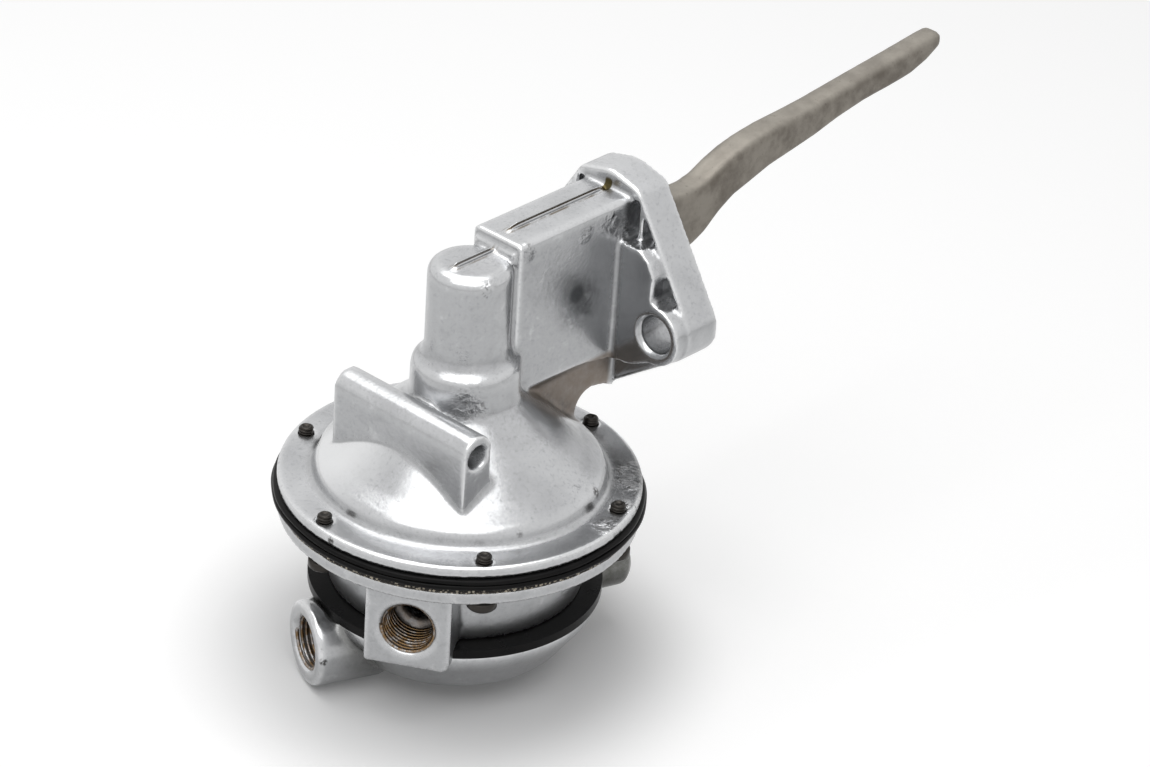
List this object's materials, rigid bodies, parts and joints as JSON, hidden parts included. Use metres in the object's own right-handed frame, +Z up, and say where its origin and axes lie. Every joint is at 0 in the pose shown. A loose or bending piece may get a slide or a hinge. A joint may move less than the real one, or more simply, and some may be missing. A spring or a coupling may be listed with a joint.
{
  "type": "mechanical fuel pump",
  "caption": "Lever-driven diaphragm fuel pump with a cast aluminium body, an engine flange, a long steel rocker arm, threaded ports and spring-loaded valves.",
  "frame": {"origin": "middle between the two bolt holes, on the face that meets the engine", "axes": "+X out of that face, along the rocker arm; +Z up, along the diaphragm's axis; +Y across the pump, to the left of the arm"},
  "size_m": [0.2487, 0.1054, 0.1341],
  "materials": {
    "cast_aluminium": "tumbled and polished die casting",
    "machined_aluminium": "satin die casting",
    "black_rubber": "smooth black fuel rubber",
    "woven_gasket": "woven gasket with a frayed edge",
    "dark_screw_steel": "dark oxide steel",
    "copper_washer": "soft sealing metal",
    "bare_arm_steel": "bare forged steel, sand blasted",
    "bright_steel": "bright zinc plated steel",
    "spring_steel": "drawn spring wire",
    "valve_brass": "pressed brass"
  },
  "bodies": {
    "casing": {"upper_housing": "cast_aluminium", "bottom_cover": "cast_aluminium", "valve_body": "machined_aluminium", "diaphragm_rim": "black_rubber", "rubber_ring": "black_rubber", "pulsator_diaphragm": "black_rubber", "rod_seal": "black_rubber", "body_gasket": "woven_gasket", "body_screws": "dark_screw_steel", "cover_bolt": "dark_screw_steel", "cover_washer": "copper_washer", "pivot_pin": "bright_steel", "pin_plug": "bright_steel", "seal_retainer": "bright_steel", "diaphragm_spring": "spring_steel", "return_spring": "spring_steel", "inlet_valve_spring": "spring_steel", "outlet_valve_spring": "spring_steel", "inlet_valve_seat": "valve_brass", "inlet_valve_stem": "valve_brass", "outlet_valve_seat": "valve_brass", "outlet_valve_stem": "valve_brass"},
    "arm": {"rocker_arm": "bare_arm_steel"},
    "link": {"pull_link": "bright_steel"},
    "rod": {"pull_rod": "bright_steel", "upper_plate": "bright_steel", "lower_plate": "bright_steel", "rod_nut": "dark_screw_steel", "diaphragm": "black_rubber"},
    "inlet_disc": {"inlet_valve_disc": "black_rubber"},
    "outlet_disc": {"outlet_valve_disc": "black_rubber"}
  },
  "joints": [
    {"name": "rocker_hinge", "type": "hinge", "parent": "casing", "child": "arm", "pos_m": [-0.0295, 0, 0.0155], "axis": [0, 1, 0], "range_deg": [0, 5], "stiffness_Nm_per_rad": 2, "springref_deg": -11.46, "deforming": ["return_spring"]},
    {"name": "link_hinge", "type": "hinge", "parent": "casing", "child": "link", "pos_m": [-0.0295, 0, 0.0155], "axis": [0, 1, 0], "range_deg": [0, 5]},
    {"name": "rod_slide", "type": "slide", "parent": "casing", "child": "rod", "axis": [0, 0, 1], "range_m": [0, 0.0033], "stiffness_N_per_m": 1500, "springref_m": -0.008, "deforming": ["diaphragm", "diaphragm_spring"]},
    {"name": "inlet_valve_slide", "type": "slide", "parent": "casing", "child": "inlet_disc", "axis": [0, 0, 1], "range_m": [0, 0.0012], "stiffness_N_per_m": 20, "springref_m": -0.002, "deforming": ["inlet_valve_spring"]},
    {"name": "outlet_valve_slide", "type": "slide", "parent": "casing", "child": "outlet_disc", "axis": [0, 0, -1], "range_m": [0, 0.0012], "stiffness_N_per_m": 20, "springref_m": -0.002, "deforming": ["outlet_valve_spring"]}
  ],
  "couplings": [
    {"joint": "link_hinge", "follows": "rocker_hinge", "ratio": 1},
    {"joint": "rod_slide", "follows": "rocker_hinge", "m_per_rad": 0.037}
  ]
}
